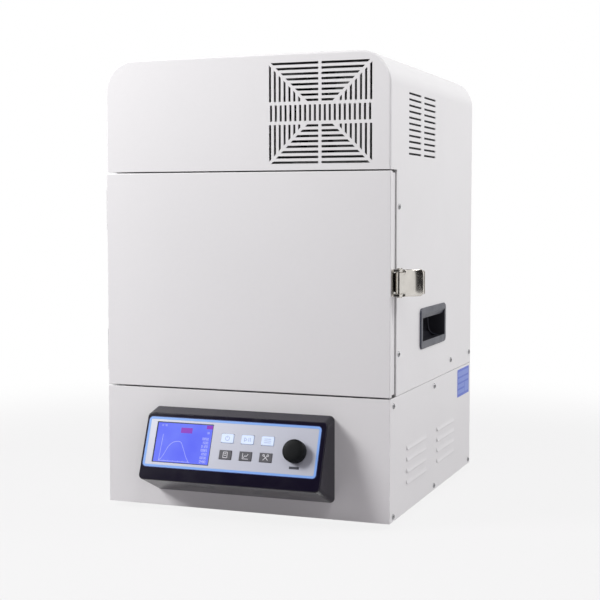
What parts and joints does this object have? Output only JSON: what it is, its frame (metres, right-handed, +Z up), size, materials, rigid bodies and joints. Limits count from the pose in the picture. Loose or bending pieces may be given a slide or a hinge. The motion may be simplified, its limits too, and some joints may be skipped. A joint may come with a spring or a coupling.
{
  "type": "microwave sintering furnace",
  "caption": "Bench-top microwave sintering furnace: white sheet-steel cabinet with a hinged front door, fibre-lined chamber, exhaust grille, louvred base and tilted control pod.",
  "frame": {"origin": "middle of the four feet's plane, on the bench", "axes": "+Z up, the door faces -Y, +X to the right seen from the front"},
  "size_m": [0.4767, 0.5344, 0.6495],
  "materials": {
    "white_coat": "fine textured powder coat",
    "zinc_sheet": "zinc plated sheet",
    "stainless_sheet": "satin stainless sheet",
    "waveguide_aluminium": "plain",
    "fibre_board": "matt fibre board",
    "susceptor_ceramic": "dark silicon carbide",
    "hearth_ceramic": "matt",
    "sensor_steel": "satin",
    "black_socket": "matt",
    "rocker_plastic": "gloss",
    "gasket_rubber": "matt silicone",
    "foot_rubber": "matt",
    "hinge_steel": "satin",
    "latch_chrome": "polished plating",
    "magnet_iron": "dark",
    "handle_plastic": "fine texture",
    "pod_plastic": "gloss",
    "plate_aluminium": "satin, light blue grey",
    "display_glass": "clear",
    "display_blue": "lit blue screen",
    "board_green": "solder mask",
    "key_lit": "backlit",
    "key_dark": "satin"
  },
  "bodies": {
    "cabinet": {"base_deck": "zinc_sheet", "base_floor_tray": "zinc_sheet", "base_front_panel": "white_coat", "base_side_panel_left": "white_coat", "base_side_panel_right": "white_coat", "cabinet_screws": "hinge_steel", "capacitors": "waveguide_aluminium", "carry_handle_left": "handle_plastic", "carry_handle_right": "handle_plastic", "cavity_supports": "zinc_sheet", "control_board": "board_green", "door_sensor": "black_socket", "encoder_body": "sensor_steel", "exhaust_fan_frame": "black_socket", "feet": "foot_rubber", "front_frame": "zinc_sheet", "hearth_plate": "hearth_ceramic", "hinge_leaves_cabinet": "hinge_steel", "hinge_pins": "hinge_steel", "hood_front_panel": "white_coat", "hood_wrap": "white_coat", "insulation_box": "fibre_board", "key_board": "board_green", "lcd_module": "display_blue", "lcd_window": "display_glass", "magnetrons": "waveguide_aluminium", "mains_switch_body": "black_socket", "microwave_cavity": "stainless_sheet", "pod_faceplate": "plate_aluminium", "pod_housing": "pod_plastic", "power_inlet": "black_socket", "rear_panel": "white_coat", "strike_plate": "zinc_sheet", "susceptor_plates": "susceptor_ceramic", "thermocouple": "sensor_steel", "transformers": "magnet_iron", "waveguide": "waveguide_aluminium"},
    "door": {"door_outer_panel": "white_coat", "door_inner_pan": "white_coat", "door_insulation_board": "fibre_board", "door_plug": "fibre_board", "door_gasket": "gasket_rubber", "hinge_leaves_door": "hinge_steel", "latch_base": "latch_chrome", "latch_pin": "hinge_steel", "latch_magnet": "magnet_iron"},
    "latch": {"latch_lever": "latch_chrome"},
    "fan": {"fan_impeller": "black_socket"},
    "knob": {"selector_knob": "pod_plastic", "encoder_shaft": "sensor_steel"},
    "rocker": {"mains_rocker": "rocker_plastic"},
    "button_1": {"key_1": "key_lit"},
    "button_2": {"key_2": "key_lit"},
    "button_3": {"key_3": "key_lit"},
    "button_4": {"key_4": "key_dark"},
    "button_5": {"key_5": "key_dark"},
    "button_6": {"key_6": "key_dark"}
  },
  "joints": [
    {"name": "door_swing", "type": "hinge", "parent": "cabinet", "child": "door", "pos_m": [-0.2195, -0.2065, 0.3345], "axis": [0, 0, -1], "range_deg": [0, 115]},
    {"name": "latch_pull", "type": "hinge", "parent": "door", "child": "latch", "pos_m": [0.224, -0.222, 0.337], "axis": [0, 0, -1], "range_deg": [0, 35], "stiffness_Nm_per_rad": 0.25},
    {"name": "fan_spin", "type": "hinge", "parent": "cabinet", "child": "fan", "pos_m": [0.114, -0.221, 0.5678], "axis": [0, 1, 0], "continuous": true},
    {"name": "knob_turn", "type": "hinge", "parent": "cabinet", "child": "knob", "pos_m": [0.0946, -0.27604, 0.10687], "axis": [0, -0.9304, 0.3665], "continuous": true},
    {"name": "rocker_tip", "type": "hinge", "parent": "cabinet", "child": "rocker", "pos_m": [0.092, 0.232, 0.066], "axis": [-1, 0, 0], "range_deg": [0, 22]},
    {"name": "button_1_press", "type": "slide", "parent": "cabinet", "child": "button_1", "axis": [0, 0.9304, -0.3665], "range_m": [0, 0.0008], "stiffness_N_per_m": 400},
    {"name": "button_2_press", "type": "slide", "parent": "cabinet", "child": "button_2", "axis": [0, 0.9304, -0.3665], "range_m": [0, 0.0008], "stiffness_N_per_m": 400},
    {"name": "button_3_press", "type": "slide", "parent": "cabinet", "child": "button_3", "axis": [0, 0.9304, -0.3665], "range_m": [0, 0.0008], "stiffness_N_per_m": 400},
    {"name": "button_4_press", "type": "slide", "parent": "cabinet", "child": "button_4", "axis": [0, 0.9304, -0.3665], "range_m": [0, 0.0008], "stiffness_N_per_m": 400},
    {"name": "button_5_press", "type": "slide", "parent": "cabinet", "child": "button_5", "axis": [0, 0.9304, -0.3665], "range_m": [0, 0.0008], "stiffness_N_per_m": 400},
    {"name": "button_6_press", "type": "slide", "parent": "cabinet", "child": "button_6", "axis": [0, 0.9304, -0.3665], "range_m": [0, 0.0008], "stiffness_N_per_m": 400}
  ]
}
